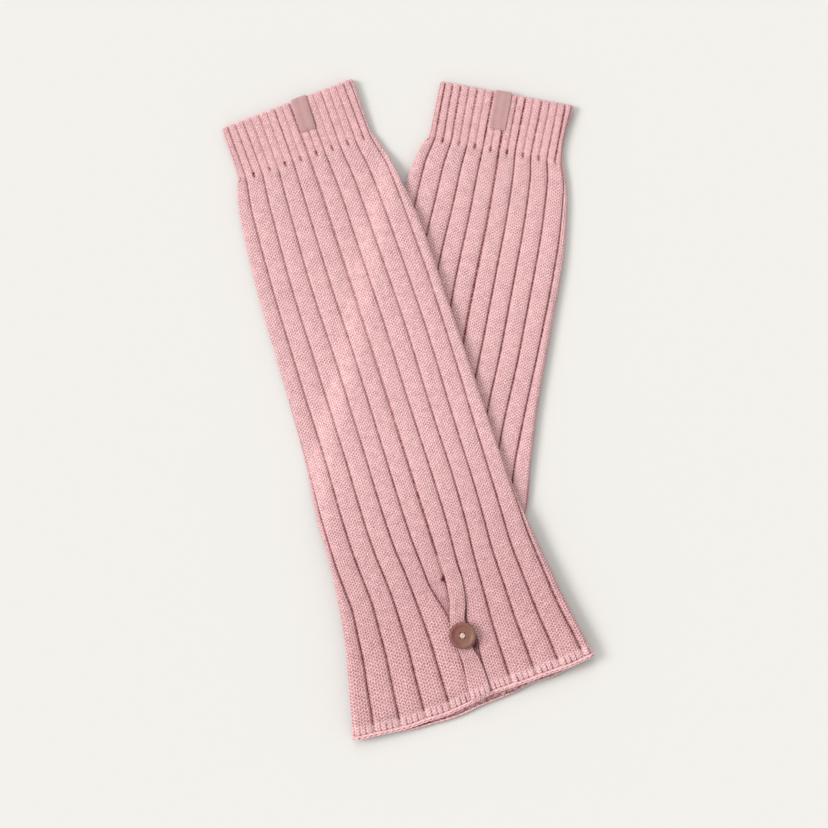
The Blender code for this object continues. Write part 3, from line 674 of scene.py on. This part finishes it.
def leg_lift(tube, ribs, wales, down, courses):
    """How far a leg's outside stands above its wall, and how far out of painted shade it lies.

    Broad ribs between narrow grooves, which end in a band of upright tufts above the hem.
    Just under the cuff its fine ribs run out.
    """
    from_groove = from_whole(ribs)
    to_right = 1 - ribs % 1
    lift = RIB_RISE * (1 - (1 - from_groove) ** np.where(to_right > 0.5, 3.0, 1.8))
    open_by = column_at(tube.lean, "open", down)
    # deep sinks the grooves and also sets how much shade is painted in them.
    deep = np.clip(1 - from_groove / 0.13, 0, 1) ** (1.25 - 0.4 * open_by) * open_by
    closed = 0.85 * smooth((down - VENT_TOP + 14) / 6) if tube.below else 0.0
    lift = lift - GROOVE_DEPTH * deep * (1 - closed * ((ribs > -0.5) & (ribs < 1)))
    deep = deep * (1 - closed * (np.abs(ribs) < 0.5))
    from_fine = from_whole(2 * ribs)
    in_fine = np.clip(1 - from_fine / 0.3, 0, 1) * fine_depth(2 * ribs, down)
    fine = CUFF_RISE * (1 - (1 - from_fine) ** 2) - FINE_DEPTH * in_fine
    below_cuff = smooth((down - CUFF_LENGTH) / 5)
    lift = fine + (lift - fine) * below_cuff
    # Shade is painted along the right flank of each rib, the side turned away from the light.
    painted_flank_shade = 0.2 * smooth((0.3 - to_right) / 0.25) * below_cuff
    deep = np.maximum(deep * below_cuff + open_by * in_fine * (1 - below_cuff), painted_flank_shade)
    at_groove_top = smooth(1.2 - np.abs(down - CUFF_LENGTH - 1.9) / 2.8)
    dimple = np.clip(1.2 - (1 - from_groove) / 0.2, 0, 1) * at_groove_top
    dimple = dimple * (0.8 + 0.4 * drift(3.1 * np.floor(ribs), 0.0, 0.5))
    lift = lift - 1.2 * dimple
    # The dimples take painted shade as well as being sunk.
    deep = np.clip(np.maximum(deep, dimple), 0, 1)
    valley = from_middle(wales) ** 2 * smooth((from_groove - 0.08) / 0.1)
    uneven = scattered(np.floor(wales))
    tufts = smooth((down - (tube.length - TUFT_BAND) - 1.6 * uneven) / 2.5)
    lift = lift + tufts * (0.4 * uneven - 0.9 * valley + 0.5 * deep)
    # Shade is painted in the gaps between the tufts.
    deep = np.maximum(deep * (1 - 0.5 * tufts), tufts * valley ** 2 * (0.1 + 0.9 * uneven))
    return lift + STITCH_HEIGHT * stitch_relief(wales, courses) * (1 - deep), 1 - deep


def knit_leg(tube, dense_to, slit_from=None):
    """The leg between its cuff and its bound-off hem.

    It has two rows to each course down to dense_to. From slit_from on, it sinks under the
    loose strip and is open along its middle groove.
    """
    ribs, wales = broad_ribs, broad_wales
    end = tube.length - HEM_HEIGHT
    down = np.arange(CUFF_LENGTH, min(end, dense_to), COURSE / 2)
    if dense_to < end:
        down = np.concatenate([down, np.arange(dense_to, end, 4 * COURSE)])
    down = np.append(down, end)
    lift, depth = leg_lift(tube, ribs[None], wales[None], down[:, None], down[:, None] / COURSE)
    if slit_from is not None:
        under_strip = smooth((down[:, None] - slit_from) / 10) * smooth((1.0 - np.abs(ribs[None])) / 0.2)
        lift = lift - 0.9 * under_strip
        recess = (np.where(np.signbit(ribs), 0.0, smooth((1.0 - ribs) / 0.15))[None]
                  * smooth((down[:, None] - 359) / 4) * (1 - smooth((down[:, None] - 370) / 7)))
        lift = lift - 1.2 * recess
        spot = smooth(1.15 - np.hypot(ribs[None] / 0.16, (down[:, None] - HOLE_DOWN) / 3.4))
        lift = lift - 1.2 * spot
        # Shade is painted into the recess beside the button and into the hole, which are also sunk.
        depth = depth * (1 - 0.8 * recess) * (1 - spot)
    outer = cloth_points(tube, ribs[None], down[:, None], lift, True)
    slit = None if slit_from is None else int(np.searchsorted(down, slit_from))
    marks = set(np.linspace(0, len(down) - 1, 22).astype(int).tolist()) | ({slit} if slit else set())
    inner_rows = sorted(marks)
    inner = cloth_points(tube, ribs[None], down[inner_rows, None], 0.0, False)
    cloth = make_cloth(tube.name + "_knit", outer, inner, inner_rows, wales, down / COURSE, depth, knit, slit)
    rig.ride(cloth, "root")
    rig.replaces(cloth, tube.name + "_leg")
    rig.slot(cloth, "rib_knit")
    return cloth


lower = Tube("lower", lower_widths, lower_hem_edge, lower_lean, top=(62.45, 202.63),
             heading=-10.5, end_heading=17.5, bend=(236, 342), top_edge=-2.9, top_slant=0.0)
upper = Tube("upper", upper_widths, upper_hem_edge, upper_lean, top=(-78.25, 196.43),
             heading=17.5, end_heading=17.5, bend=(0, 1), top_edge=-2.3, top_slant=-0.06, below=lower)
lower_knit = knit_leg(lower, 290.0)
upper_knit = knit_leg(upper, upper.length, VENT_TOP)


def tube_flat(tube, top, bottom):
    """A length of the tube as cut: how wide it is all round, how long, and its area, in metres."""
    down = np.linspace(top, bottom, 60)
    round_it = 2 * (tube.width("left", down) + tube.width("right", down))
    length = (bottom - top) * MM
    return dict(flat=(round_it.max() * MM, length), area=round_it.mean() * MM * length)


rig.sheet(lower_knit, held="laid", rests_on=["floor"], **tube_flat(lower, CUFF_LENGTH, lower.length))
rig.sheet(upper_knit, held="laid", rests_on=["lower_knit", "floor"],
         **tube_flat(upper, CUFF_LENGTH, upper.length))

# ---------------------------------------------------------------- the two cuffs
# Knitted on in one with the leg, in fine ribs of two wales, forty round. The cast-on edge at
# the top is soft and a little scalloped, and every other groove runs on down the leg.

def knit_cuff(tube):
    """A cuff from its cast-on edge to the leg."""
    fine, wales = rib_columns(2 * HALF_ROUND, reach=12, steps=8, back_steps=3, per_rib=2, groove=0.2)
    lip = np.array([0.0, 0.25, 0.6, 1.05, 1.6])
    sink = np.array([1.3, 0.75, 0.35, 0.1, 0.0])
    down = np.append(tube.top_edge + lip, np.arange(tube.top_edge + 2.2, CUFF_LENGTH - 0.2, COURSE / 2))
    down = np.append(down, CUFF_LENGTH + 0.05)
    sink = np.append(sink, np.zeros(len(down) - len(sink)))
    from_groove = from_whole(fine)
    open_by = column_at(tube.lean, "open", down)[:, None]
    deep = np.clip(1 - from_groove[None] / (0.16 + 0.2 * open_by), 0, 1)
    deep = deep * smooth((down - tube.top_edge) / 2.5)[:, None]
    ridge = CUFF_RISE * (1 - (1 - from_groove) ** 2)
    courses = down / COURSE
    deep = deep * fine_depth(fine[None], down[:, None])
    lift = ridge[None] - FINE_DEPTH * deep
    shaded = np.clip(deep * open_by, 0, 1)
    lift = lift + 0.8 * STITCH_HEIGHT * stitch_relief(wales[None], courses[:, None]) * (1 - deep)
    lift = lift - sink[:, None]
    scallop = 0.5 * (1 - from_groove[None]) ** 2 * (1 - smooth((down - tube.top_edge) / 3))[:, None]
    ribs = fine[None] / 2
    outer = cloth_points(tube, ribs, down[:, None] + scallop, lift, True)
    inner_rows = [0, 3, 8, 16, 24, len(down) - 1]
    inner = cloth_points(tube, ribs, down[inner_rows, None] + scallop[inner_rows], 0.0, False)
    cuff = make_cloth(tube.name + "_cuff_knit", outer, inner, inner_rows, wales, courses, 1 - shaded, knit)
    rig.ride(cuff, "root")
    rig.replaces(cuff, tube.name + "_cuff")
    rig.slot(cuff, "rib_knit")
    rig.sheet(cuff, held="laid", rests_on=["floor"] if tube.below is None else ["lower_knit", "floor"],
             **tube_flat(tube, tube.top_edge, CUFF_LENGTH))


knit_cuff(lower)
knit_cuff(upper)

# ---------------------------------------------------------------- the two hems
# The last courses are bound off: a narrow soft roll round the wide end of each tube, with a
# chain of yarn links lying along its edge, about one to a wale.

HEM_SWELL = 0.35
CHAIN_LINKS = 96
CHAIN_LOWEST = 2.3


def yarn_link_tree():
    """Puts a small closed loop of yarn at each point, along its own direction."""
    tree = bpy.data.node_groups.new("yarn_links", "GeometryNodeTree")
    face = tree.interface
    face.new_socket("Points", in_out="INPUT", socket_type="NodeSocketGeometry")
    for name in ("Length", "Width", "Yarn Radius"):
        face.new_socket(name, in_out="INPUT", socket_type="NodeSocketFloat")
    face.new_socket("Finish", in_out="INPUT", socket_type="NodeSocketMaterial")
    face.new_socket("Links", in_out="OUTPUT", socket_type="NodeSocketGeometry")

    def add(kind, links=None, **settings):
        made = tree.nodes.new(kind)
        for key, value in settings.items():
            setattr(made, key, value)
        for key, value in (links or {}).items():
            if isinstance(value, bpy.types.NodeSocket):
                tree.links.new(value, made.inputs[key])
            else:
                made.inputs[key].default_value = value
        return made

    sizes = add("NodeGroupInput").outputs
    loop = add("GeometryNodeCurvePrimitiveCircle", {"Resolution": 10, "Radius": 0.5})
    size = add("ShaderNodeCombineXYZ", {"X": sizes["Length"], "Y": sizes["Width"], "Z": 1.0})
    shaped = add("GeometryNodeTransform", {"Geometry": loop.outputs["Curve"], "Scale": size.outputs[0]})
    round_it = add("GeometryNodeCurvePrimitiveCircle", {"Resolution": 5, "Radius": sizes["Yarn Radius"]})
    link = add("GeometryNodeCurveToMesh", {
        "Curve": shaped.outputs[0], "Profile Curve": round_it.outputs["Curve"]})
    rotation = None
    for axis, name in (("X", "along"), ("Z", "out")):
        vector = add("GeometryNodeInputNamedAttribute", {"Name": name}, data_type="FLOAT_VECTOR")
        links = {"Vector": vector.outputs[0]}
        if rotation:
            links["Rotation"] = rotation
        pivot = "X" if rotation else "AUTO"
        rotation = add("FunctionNodeAlignRotationToVector", links, axis=axis, pivot_axis=pivot).outputs[0]
    placed = add("GeometryNodeInstanceOnPoints", {
        "Points": sizes["Points"], "Instance": link.outputs[0], "Rotation": rotation})
    whole = add("GeometryNodeRealizeInstances", {"Geometry": placed.outputs[0]})
    finished = add("GeometryNodeSetMaterial", {"Geometry": whole.outputs[0], "Material": sizes["Finish"]})
    add("NodeGroupOutput", {"Links": finished.outputs[0]})
    return tree


link_tree = yarn_link_tree()


def yarn_links(name, points, along, out, length, width, radius, material):
    """A row of yarn links at points, in millimetres, as one plain mesh."""
    mesh = bpy.data.meshes.new(name)
    mesh.from_pydata((points * MM).tolist(), [], [])
    for key, vectors in (("along", along), ("out", out)):
        data = mesh.attributes.new(key, "FLOAT_VECTOR", "POINT").data
        data.foreach_set("vector", np.ascontiguousarray(vectors, np.float32).ravel())
    row = bpy.data.objects.new(name, mesh)
    bpy.context.scene.collection.objects.link(row)
    modifier = row.modifiers.new("links", "NODES")
    modifier.node_group = link_tree
    values = {"Length": length * MM, "Width": width * MM, "Yarn Radius": radius * MM, "Finish": material}
    for socket in link_tree.interface.items_tree:
        if socket.name in values:
            modifier[socket.identifier] = values[socket.name]
    made = bpy.data.meshes.new_from_object(row.evaluated_get(bpy.context.evaluated_depsgraph_get()))
    bpy.data.objects.remove(row)
    bpy.data.meshes.remove(mesh)
    made.name = name
    made.shade_smooth()
    obj = bpy.data.objects.new(name, made)
    bpy.context.scene.collection.objects.link(obj)
    return obj


chain, shade, shader = new_material("bound_off_yarn", 0.92, Sheen_Weight=0.12, Sheen_Roughness=0.5,
                                    Sheen_Tint=(1.0, 0.8, 0.8, 1.0), Specular_IOR_Level=0.1)
place = shade.node("ShaderNodeTexCoord", output=3)
tone = ((place.noise(900.0, 3.0, 0.6) - 0.5) * 1.6 + 0.62).clamped()
put_on(shader, tone.mix(YARN_SHADED, YARN_LIGHT), place.noise(2600.0, 3.0, 0.7), 0.5, 0.3 * MM)


def bind_off(tube, slit):
    """The hem's roll, and the chain of links along its edge."""
    ribs, wales = broad_ribs, broad_wales
    rise = np.array([0.0, 0.5, 1.0, 1.5, 1.9, 2.2, HEM_HEIGHT])
    sink = np.array([0.5, 0.0, -HEM_SWELL, -HEM_SWELL, 0.0, 0.5, 1.4])
    down = tube.length - HEM_HEIGHT + rise
    valley = from_middle(wales) ** 2
    lift = 0.45 - sink[:, None] - 0.45 * valley[None]
    outer = cloth_points(tube, ribs[None], down[:, None], lift, True)
    inner_rows = [0, 3, 6]
    inner = cloth_points(tube, ribs[None], down[inner_rows, None], 0.0, False)
    behind = smooth((np.abs(ribs) - 5) / 2)
    uneven = scattered(np.round(2 * wales))
    # Shade is painted in the valleys between wales, more at the back, and in short dashes along the roll's first row.
    depth = 1 - np.repeat(((0.4 * (1 - behind) + behind * (0.5 + 0.5 * uneven)) * valley)[None], len(down), 0)
    depth[0] = 1 - smooth(0.5 + 0.9 * np.cos(np.pi * wales + 0.6))
    roll = make_cloth(tube.name + "_hem_roll", outer, inner, inner_rows, wales, down / COURSE, depth,
                      knit, slit)
    count = (np.arange(CHAIN_LINKS) + 0.5) / CHAIN_LINKS * 2 * HALF_ROUND - HALF_ROUND
    front = smooth((6.2 - np.abs(count)) / 0.8)
    lift = 0.35 * front - 1.3 * (1 - front)
    points = cloth_points(tube, count, tube.length - 0.1 - 0.3 * front, lift, True)
    points[:, 2] = np.maximum(points[:, 2], CHAIN_LOWEST)
    along = np.roll(points, -1, 0) - np.roll(points, 1, 0)
    run = tube.stations[int(tube.length), 2:]
    out = np.stack([run[0] + 0 * front, run[1] + 0 * front, 0.2 + 1.2 * front], -1)
    links = yarn_links(tube.name + "_bound_off_chain", points, along, out, 5.0, 1.8, 0.6, chain)
    for piece in (roll, links):
        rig.ride(piece, "root")
        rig.slot(piece, "rib_knit")
    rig.replaces(roll, tube.name + "_hem")


bind_off(lower, None)
bind_off(upper, 0)

# ---------------------------------------------------------------- the buttoned strip
# Below a small hole the upper leg is open along its middle groove, and the first rib beside
# it is knitted on as a loose strip. It laps over the slit and is held by the button.

STRIP_LINKS = 5

strip_row = np.dtype([(name, float) for name in ("down", "across", "half", "rise")])
strip_rows = np.array([
    (311.0, 10.6, 4.7, -0.8),
    (318.5, 10.6, 4.8, 0.2),
    (325.0, 10.7, 5.05, 0.8),
    (331.5, 10.0, 5.2, 1.4),
    (338.0, 9.1, 5.1, 1.6),
    (344.5, 7.2, 5.2, 1.6),
    (352.0, 4.6, 4.85, 1.6),
    (361.0, 4.2, 4.4, 1.6),
    (371.0, 4.5, 4.6, 1.5),
    (377.0, 5.5, 5.3, 1.2),
    (385.0, 5.5, 6.2, 0.9),
    (393.0, 5.1, 6.8, 0.8),
    (401.5, 4.7, 7.0, 0.7),
], strip_row)


def front_height(tube, across, down):
    """Height of the crowns of a leg's front."""
    x, y = tube.place(across, down)
    return tube.support(x, y) + BACK_WALL + ply_gap(down) + WALL + RIB_RISE


def make_band(name, loops, u, v, depth, material):
    """A closed solid through rings of points that run left to right on top and back below."""
    rows, count = loops.shape[:2]
    faces = [tuple(range(count)), tuple(reversed(range((rows - 1) * count, rows * count)))]
    for r in range(rows - 1):
        a, b = r * count, (r + 1) * count
        faces += [(a + c, b + c, b + (c + 1) % count, a + (c + 1) % count) for c in range(count)]
    mesh = bpy.data.meshes.new(name)
    mesh.from_pydata((loops.reshape(-1, 3) * MM).tolist(), [], faces)
    record_stitches(mesh, np.tile(u, rows), np.repeat(v, count), depth)
    return finish_piece(name, mesh, material)


def button_strip(tube):
    """The loose rib, its stitches on top and plain below, and the chain along its end."""
    down = np.arange(strip_rows["down"][0], strip_rows["down"][-1], COURSE / 2)
    down = np.append(down, strip_rows["down"][-1])
    centre, half, rise = (column_at(strip_rows, name, down)[:, None] for name in ("across", "half", "rise"))
    steps = np.linspace(-1, 1, 17)
    below = steps[::-4]
    spread = np.concatenate([[-0.97, -1.04], steps, [1.04, 0.97], below])
    wales = np.concatenate([[0.0, 0.25], 2.5 + 2 * steps, [4.75, 5.0], 2.5 + 2 * below])
    top = np.zeros(len(spread), bool)
    top[2:2 + len(steps)] = True
    across = centre + half * spread[None]
    courses = down / COURSE
    valley = from_middle(wales) ** 2
    tufts = smooth((down - (tube.length - TUFT_BAND)) / 2.5)[:, None]
    bow = 1.1 * (1 - np.abs(spread[None]) ** 3)
    height = rise - 0.3 + bow + STITCH_HEIGHT * stitch_relief(wales[None], courses[:, None])
    height = height - 0.5 * tufts * valley
    height = height - 1.2 * (1 - smooth((down[-1] - down) / 1.5))[:, None]
    settle = 0.7 * smooth((down[:, None] - down[-1] + 14) / 10)
    foot = np.where(np.abs(spread) > 1.0, 0.45 * rise - 0.6, -0.9) - settle
    height = np.where(top[None], height, foot)
    x, y = tube.place(across, tube.slanted(across, down[:, None]))
    loops = np.stack([x, y, front_height(tube, across, down[:, None]) + height], -1)
    # The strip's sides and underside take painted shade, and so do the gaps between its tufts.
    depth = np.where(top[None], 1 - 0.7 * tufts * valley ** 2, 0.1)
    strip = make_band("button_strip", loops, wales, courses, depth, knit)
    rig.ride(strip, "root")
    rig.replaces(strip, "upper_placket")
    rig.slot(strip, "rib_knit")
    wide = 2 * half.max() * MM
    long = (down[-1] - down[0]) * MM
    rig.sheet(strip, flat=(wide, long), area=2 * half.mean() * MM * long, held="laid", rests_on=["upper_knit"])
    count = np.linspace(-0.9, 0.9, STRIP_LINKS)
    end = np.full(STRIP_LINKS, down[-1])
    ends = centre[-1] + half[-1] * count
    x, y = tube.place(ends, tube.slanted(ends, end) - 0.3)
    points = np.stack([x, y, front_height(tube, ends, end) + rise[-1] - 0.2 - 0.5 * count ** 2], -1)
    run = tube.stations[int(tube.length), 2:]
    along = np.tile([-run[1], run[0], 0.0], (STRIP_LINKS, 1))
    out = np.tile([run[0], run[1], 1.2], (STRIP_LINKS, 1))
    links = yarn_links("button_strip_chain", points, along, out, 3.6, 1.7, 0.42, chain)
    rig.ride(links, "root")
    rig.slot(links, "rib_knit")


button_strip(upper)

# ---------------------------------------------------------------- the button
# A turned button of imitation horn, brown with olive and pale streaks, with a raised rim round
# a dish and four holes. Pale thread in two short bars holds it to the strip.

BUTTON_ACROSS = 5.1
BUTTON_DOWN = 361.4
BUTTON_RADIUS = 8.7
DISH_RADIUS = 6.0
DISH_DEPTH = 0.9
BUTTON_THICKNESS = 3.0
BUTTON_SINK = 0.5
BUTTON_TILT = 0.03
BUTTON_STEPS = 72
HOLE_OFFSET = 1.15
HOLE_RADIUS = 0.75
THREAD_RADIUS = 0.28

button_x, button_y = (float(at) for at in upper.place(BUTTON_ACROSS, BUTTON_DOWN))
horn, shade, shader = new_material("horn_button", 0.45, Coat_Weight=0.05, Coat_Roughness=0.3,
                                   Specular_IOR_Level=0.3)
place = shade.node("ShaderNodeTexCoord", output=3)
streaked = shade.node("ShaderNodeMapping", {}, {
    "Vector": place, "Rotation": (0.0, 0.0, 0.6), "Scale": (1.0, 0.28, 1.0)})
grain = streaked.noise(330.0, 4.0, 0.65)
fleck = streaked.noise(1100.0, 3.0, 0.6)
to_right = place.node("ShaderNodeSeparateXYZ", {}, {0: place}) - button_x * MM
stops = [
    (0.25, (0.11, 0.034, 0.03)),
    (0.42, (0.19, 0.066, 0.056)),
    (0.58, (0.17, 0.08, 0.05)),
    (0.78, (0.29, 0.16, 0.125)),
]
tone = grain * 0.6 + fleck * 0.2 + to_right * 14.0 + 0.08
colour = tone.node("ShaderNodeValToRGB", {"stops": stops}, {0: tone})
put_on(shader, colour, fleck, 0.12, 0.1 * MM)


def horn_button():
    """The turned button, and the middle of its dish's floor."""
    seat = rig.box("upper_button")[0].z / MM - BUTTON_SINK
    rim_middle = (BUTTON_RADIUS + DISH_RADIUS) / 2
    floor_of_dish = BUTTON_THICKNESS - DISH_DEPTH
    profile = [(0.0, 0.0), (3.0, 0.0), (6.4, 0.0), (7.4, 0.35), (8.2, 0.9), (8.6, 1.4), (BUTTON_RADIUS, 1.9),
               (8.6, 2.4), (8.3, 2.75), (7.9, 2.95), (rim_middle, BUTTON_THICKNESS), (6.8, 2.9), (6.3, 2.65),
               (DISH_RADIUS - 0.1, 2.35), (5.4, floor_of_dish + 0.05), (4.6, floor_of_dish)]
    profile += [(4.0 - 0.25 * i, floor_of_dish) for i in range(16)] + [(0.0, floor_of_dish)]
    points, faces = [(0.0, 0.0, 0.0)], []
    for radius, height in profile[1:-1]:
        for i in range(BUTTON_STEPS):
            angle = math.tau * i / BUTTON_STEPS
            x, y = radius * math.cos(angle), radius * math.sin(angle)
            from_hole = math.hypot(abs(x) - HOLE_OFFSET, abs(y) - HOLE_OFFSET)
            sunk = 1.3 * float(smooth((HOLE_RADIUS + 0.12 - from_hole) / 0.3)) if height > 1 else 0.0
            points.append((x, y, height - sunk))
    points.append((0.0, 0.0, floor_of_dish))
    rings = len(profile) - 2
    for i in range(BUTTON_STEPS):
        n = (i + 1) % BUTTON_STEPS
        faces.append((0, 1 + n, 1 + i))
        for r in range(rings - 1):
            a, b = 1 + r * BUTTON_STEPS, 1 + (r + 1) * BUTTON_STEPS
            faces.append((a + i, a + n, b + n, b + i))
        last = 1 + (rings - 1) * BUTTON_STEPS
        faces.append((last + i, last + n, len(points) - 1))
    mesh = bpy.data.meshes.new("horn_button")
    lie = np.array(points)
    lie[:, 2] += BUTTON_TILT * lie[:, 0]
    lie += np.array([button_x, button_y, seat])
    mesh.from_pydata((lie * MM).tolist(), [], faces)
    button = finish_piece("horn_button", mesh, horn)
    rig.ride(button, "root")
    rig.replaces(button, "upper_button")
    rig.slot(button, "button")
    return np.array([button_x, button_y, seat + floor_of_dish])


button_centre = horn_button()

thread, shade, shader = new_material("pale_pink_thread", 0.8, Sheen_Weight=0.25, Specular_IOR_Level=0.25)
place = shade.node("ShaderNodeTexCoord", output=3)
tone = ((place.noise(1500.0, 2.0) - 0.5) * 1.5 + 0.6).clamped()
put_on(shader, tone.mix((0.44, 0.28, 0.25), (0.64, 0.49, 0.43)), place.noise(4000.0), 0.4, 0.1 * MM)

bars, runs = [], []
for turn, height in ((1, 0.2), (-1, 0.5)):
    for strand in (-0.42, 0.0, 0.42):
        bars.append((-turn * strand, strand, height))
        runs.append((1.0, float(turn), 0.0))
bars = np.array(bars) + button_centre
sewing = yarn_links("button_thread", bars, np.array(runs), np.tile([0.0, 0.0, 1.0], (len(bars), 1)),
                    2.9 * HOLE_OFFSET, 0.5, THREAD_RADIUS, thread)
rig.ride(sewing, "root")
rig.replaces(sewing, "upper_button_thread")
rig.slot(sewing, "sewing_thread")

# ---------------------------------------------------------------- the two labels
# A plain woven ribbon folded over each cuff's top edge and sewn through it, in front and
# inside. It carries no words or mark. Its lower end is turned under, with a row of stitches.

LABEL_WIDTH = 10.2
LABEL_THICKNESS = 0.6
LABEL_STAND = 0.9
LABEL_INSIDE = 6.0
LABEL_COLUMNS = 13
LABEL_STITCHES = 6
FRONT_RINGS = 24
TURN_RINGS = 9
INSIDE_RINGS = 5
WARP_PITCH = 0.42
WEFT_PITCH = 0.5

ribbon, shade, shader = new_material("mauve_ribbon", 0.62, Sheen_Weight=0.2, Specular_IOR_Level=0.35)
across, along = wale_and_course(shade)
warp = shade.maths("SINE", across * (math.tau / WARP_PITCH)) * 0.5 + 0.5
weft = shade.maths("SINE", along * (math.tau / WEFT_PITCH)) * 0.5 + 0.5
place = shade.node("ShaderNodeTexCoord", output=3)
tone = (warp * weft * 0.5 + (place.noise(260.0, 3.0) - 0.5) * 0.6 + 0.35).clamped()
put_on(shader, tone.mix((0.33, 0.18, 0.18), (0.47, 0.275, 0.27)), warp * weft, 0.5, 0.15 * MM)


def sew_label(tube, centre, front_length):
    """A ribbon in rings from its lower end in front, over the edge and down inside."""
    inside = BACK_WALL + MOUTH_GAP
    over = inside + WALL + CUFF_RISE + 0.6
    under = inside - 0.3
    front = np.linspace(front_length, 0.6, FRONT_RINGS)
    settle = MOUTH_GAP - ply_gap(front) + 0.5 * smooth((front - front_length + 3) / 3)
    turn = np.linspace(0.15, np.pi - 0.15, TURN_RINGS)
    middle, half = (over + under) / 2, (over - under) / 2
    inside_down = np.linspace(0.6, LABEL_INSIDE, INSIDE_RINGS)
    down = np.concatenate([front, 0.2 - (LABEL_STAND - 0.3) * np.sin(turn), inside_down])
    height = np.concatenate([over - settle, middle + half * np.cos(turn), np.full(INSIDE_RINGS, under)])
    facing = np.concatenate([
        np.tile([[0.0, 1.0]], (FRONT_RINGS, 1)),
        np.stack([-np.sin(turn), np.cos(turn)], -1),
        np.tile([[0.0, -1.0]], (INSIDE_RINGS, 1)),
    ])
    spread = np.linspace(-0.5, 0.5, LABEL_COLUMNS) * LABEL_WIDTH
    across = centre + np.concatenate([spread, spread[::-1]])
    thick = LABEL_THICKNESS * np.concatenate([np.ones(LABEL_COLUMNS), np.zeros(LABEL_COLUMNS)])
    thick = thick * (1 - 0.35 * (np.abs(across - centre) > 0.49 * LABEL_WIDTH))
    down = tube.top_edge + down[:, None] + facing[:, :1] * thick[None]
    height = height[:, None] + facing[:, 1:] * thick[None]
    on_front = np.concatenate([np.ones(FRONT_RINGS), np.zeros(TURN_RINGS + INSIDE_RINGS)])[:, None]
    height = height + on_front * 0.12 * np.cos(2 * np.pi * across[None] / 5.35)
    x, y = tube.place(across[None], tube.slanted(across[None], down))
    loops = np.stack([x, y, tube.support(x, y) + height], -1)
    run = np.concatenate([[0], np.cumsum(np.linalg.norm(np.diff(loops[:, 6], axis=0), axis=1))])
    band = make_band(tube.name + "_ribbon_label", loops[:, ::-1], across[::-1], run,
                     np.ones(down.shape), ribbon)
    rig.ride(band, "root")
    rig.replaces(band, tube.name + "_label")
    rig.slot(band, "label_ribbon")
    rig.sheet(band, flat=(LABEL_WIDTH * MM, run[-1] * MM), held="folded", rests_on=[tube.name + "_cuff_knit"])
    stitch_across = centre + np.linspace(-0.42, 0.42, LABEL_STITCHES) * LABEL_WIDTH
    row = tube.top_edge + front_length - 1.6
    x, y = tube.place(stitch_across, tube.slanted(stitch_across, np.full(LABEL_STITCHES, row)))
    level = tube.support(x, y) + over - (MOUTH_GAP - ply_gap(row)) + LABEL_THICKNESS - 0.2
    along = np.tile([-tube.stations[0, 3], tube.stations[0, 2], 0.0], (LABEL_STITCHES, 1))
    stitches = yarn_links(tube.name + "_label_stitches", np.stack([x, y, level], -1), along,
                          np.tile([0.0, 0.0, 1.0], (LABEL_STITCHES, 1)), 1.2, 0.1, 0.14, thread)
    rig.ride(stitches, "root")
    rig.slot(stitches, "sewing_thread")


sew_label(upper, 8.5, 21.4)
sew_label(lower, -0.5, 24.4)

# ---------------------------------------------------------------- floor, light and camera
# The pair lies on a pale matt floor, seen from straight above, in soft light from the upper left.

FLOOR_HALF = 3
FLOOR_LEVEL = -0.0002
floor_mesh = bpy.data.meshes.new("floor")
floor_signs = ((-1, -1), (1, -1), (1, 1), (-1, 1))
floor_corners = [(x * FLOOR_HALF, y * FLOOR_HALF, FLOOR_LEVEL) for x, y in floor_signs]
floor_mesh.from_pydata(floor_corners, [], [(0, 1, 2, 3)])
pale, _, shader = new_material("pale_floor", 0.95, Specular_IOR_Level=0.1)
shader.inputs["Base Color"].default_value = (0.585, 0.575, 0.553, 1.0)
floor = finish_piece("floor", floor_mesh, pale)
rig.stage(floor)

# name, energy, how soft (degrees), turned up from the left (degrees), height (degrees)
for name, energy, softness, turned, height in (("key", 2.4, 26, 8, 43), ("fill", 0.85, 36, 75, 48)):
    sun = bpy.data.lights.new(name, "SUN")
    sun.energy = energy
    sun.angle = math.radians(softness)
    light = bpy.data.objects.new(name, sun)
    light.rotation_euler = (0.0, math.radians(height - 90), math.radians(-turned))
    bpy.context.scene.collection.objects.link(light)

world = bpy.data.worlds.new("studio")
world.use_nodes = True
world.node_tree.nodes["Background"].inputs["Color"].default_value = (1.0, 0.99, 0.98, 1.0)
world.node_tree.nodes["Background"].inputs["Strength"].default_value = 0.82
bpy.context.scene.world = world
bpy.context.scene.view_settings.view_transform = "Standard"

CAMERA_HEIGHT = 2.0
FIELD = 0.5382
FIELD_LEVEL = 0.006
lens = bpy.data.cameras.new("camera")
lens.lens = lens.sensor_width * (CAMERA_HEIGHT - FIELD_LEVEL) / FIELD
camera = bpy.data.objects.new("camera", lens)
camera.location = (0.00395, -0.00342, CAMERA_HEIGHT)
bpy.context.scene.collection.objects.link(camera)
bpy.context.scene.camera = camera

low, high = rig.bounds()
with open("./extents.json", "w") as file:
    json.dump({"cad": [list(cad_low), list(cad_high)], "visual": [list(low), list(high)]}, file)
